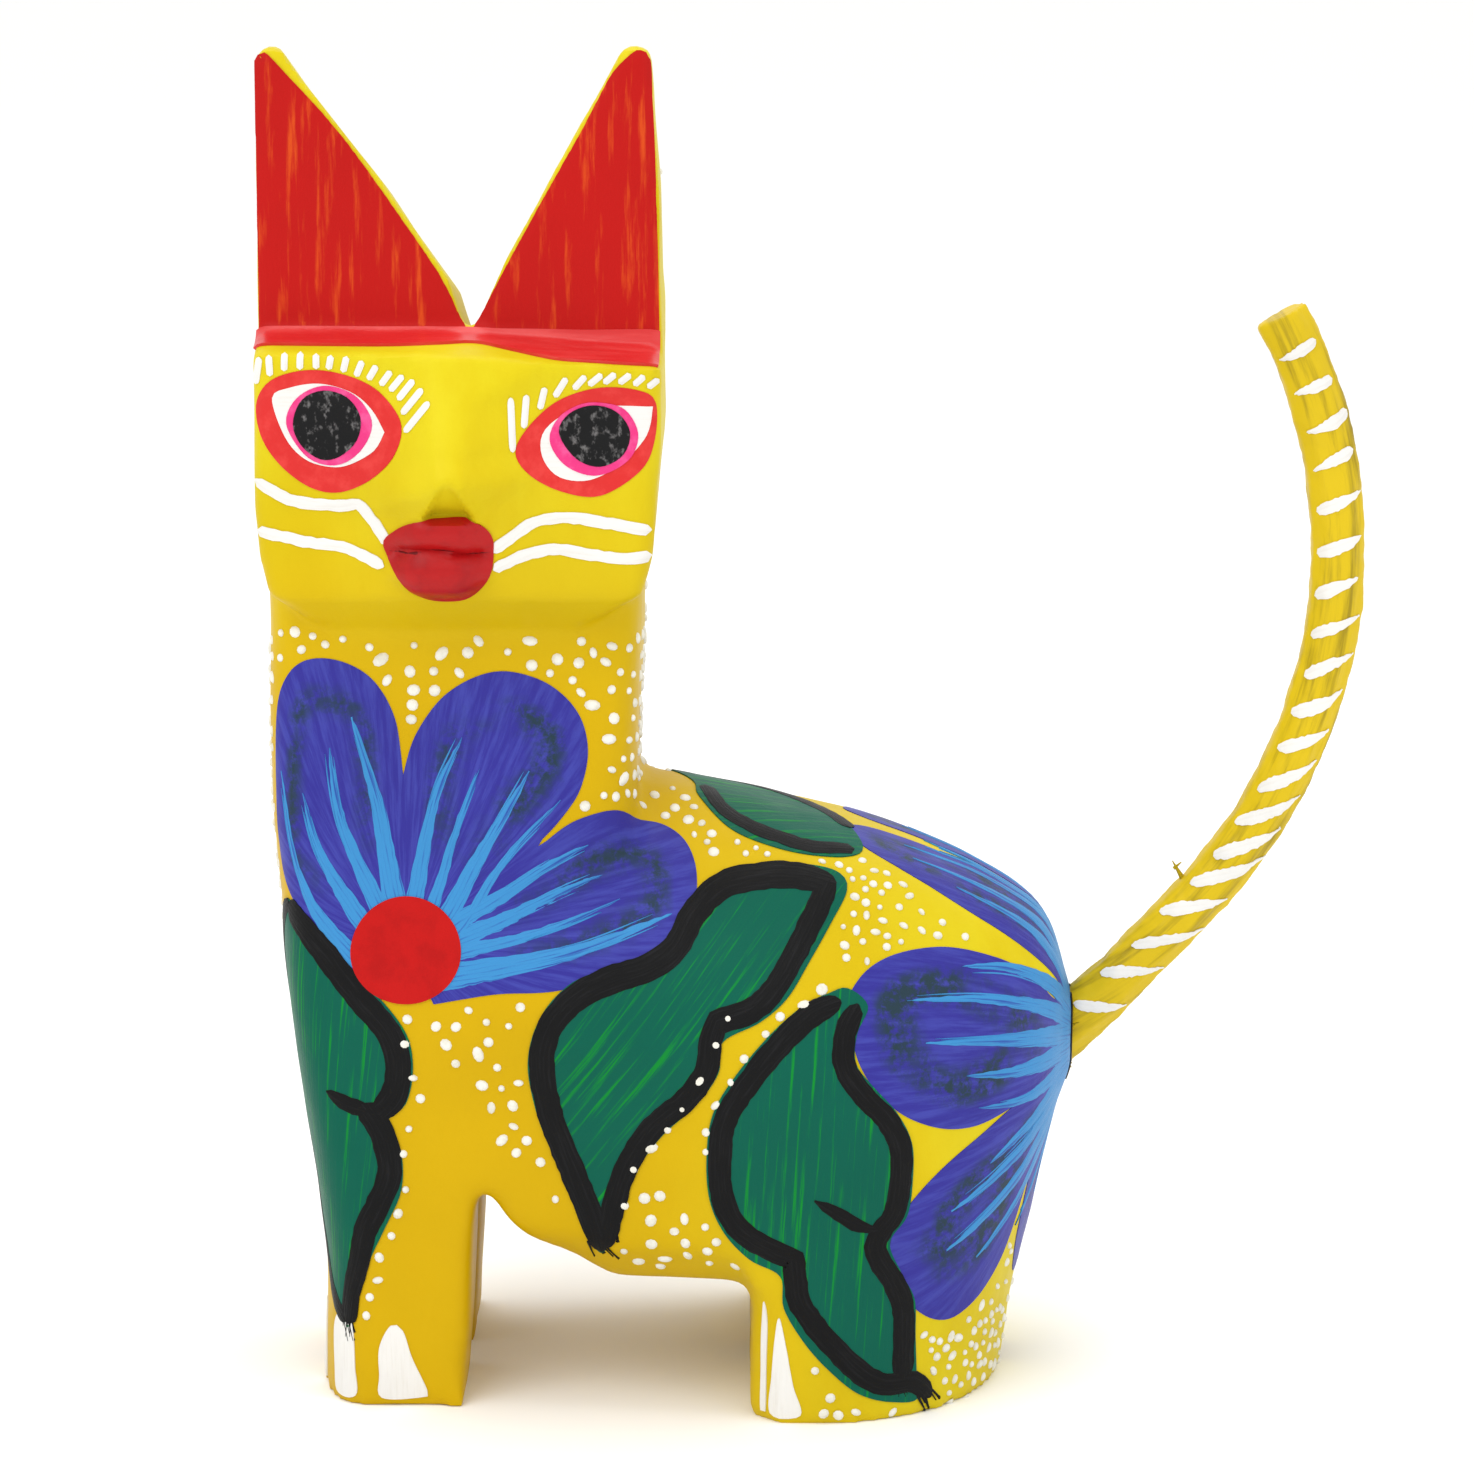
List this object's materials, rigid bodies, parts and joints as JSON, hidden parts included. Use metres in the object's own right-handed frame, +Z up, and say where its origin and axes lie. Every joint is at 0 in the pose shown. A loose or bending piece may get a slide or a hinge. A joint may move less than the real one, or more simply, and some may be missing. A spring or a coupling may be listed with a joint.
{
  "type": "alebrije figure",
  "caption": "Standing cat carved from one wood block, head turned to the side, saw-cut ears and legs, painted with flowers and leaves, with a bent twig tail on a round peg.",
  "frame": {"origin": "on the surface it stands on, under the middle of the whole figure", "axes": "+X from the chest to the tail, -Y the side the face looks to, +Z up"},
  "size_m": [0.1668, 0.072, 0.205],
  "materials": {
    "yellow_paint": "hand-brushed yellow acrylic on carved copal wood, satin, with fine brush grain",
    "tail_paint": "thin yellow acrylic on a whittled twig, satin, the knife facets showing",
    "blue_paint": "violet-blue acrylic petals, satin",
    "light_blue_paint": "light blue dry-brushed strokes, satin",
    "red_paint": "red acrylic, satin",
    "green_paint": "teal green acrylic leaves with brighter green strokes, satin",
    "black_paint": "black acrylic outline, semi-gloss",
    "white_paint": "thick white acrylic dots and strokes, satin",
    "pink_paint": "bright pink acrylic ring in the eyes, satin"
  },
  "bodies": {
    "figure": {"carved_body": "yellow_paint"},
    "tail_twig": {"tail": "tail_paint"}
  },
  "joints": [
    {"name": "tail_pull", "type": "slide", "parent": "figure", "child": "tail_twig", "axis": [0.682, 0, 0.7314], "range_m": [0, 0.02]}
  ]
}
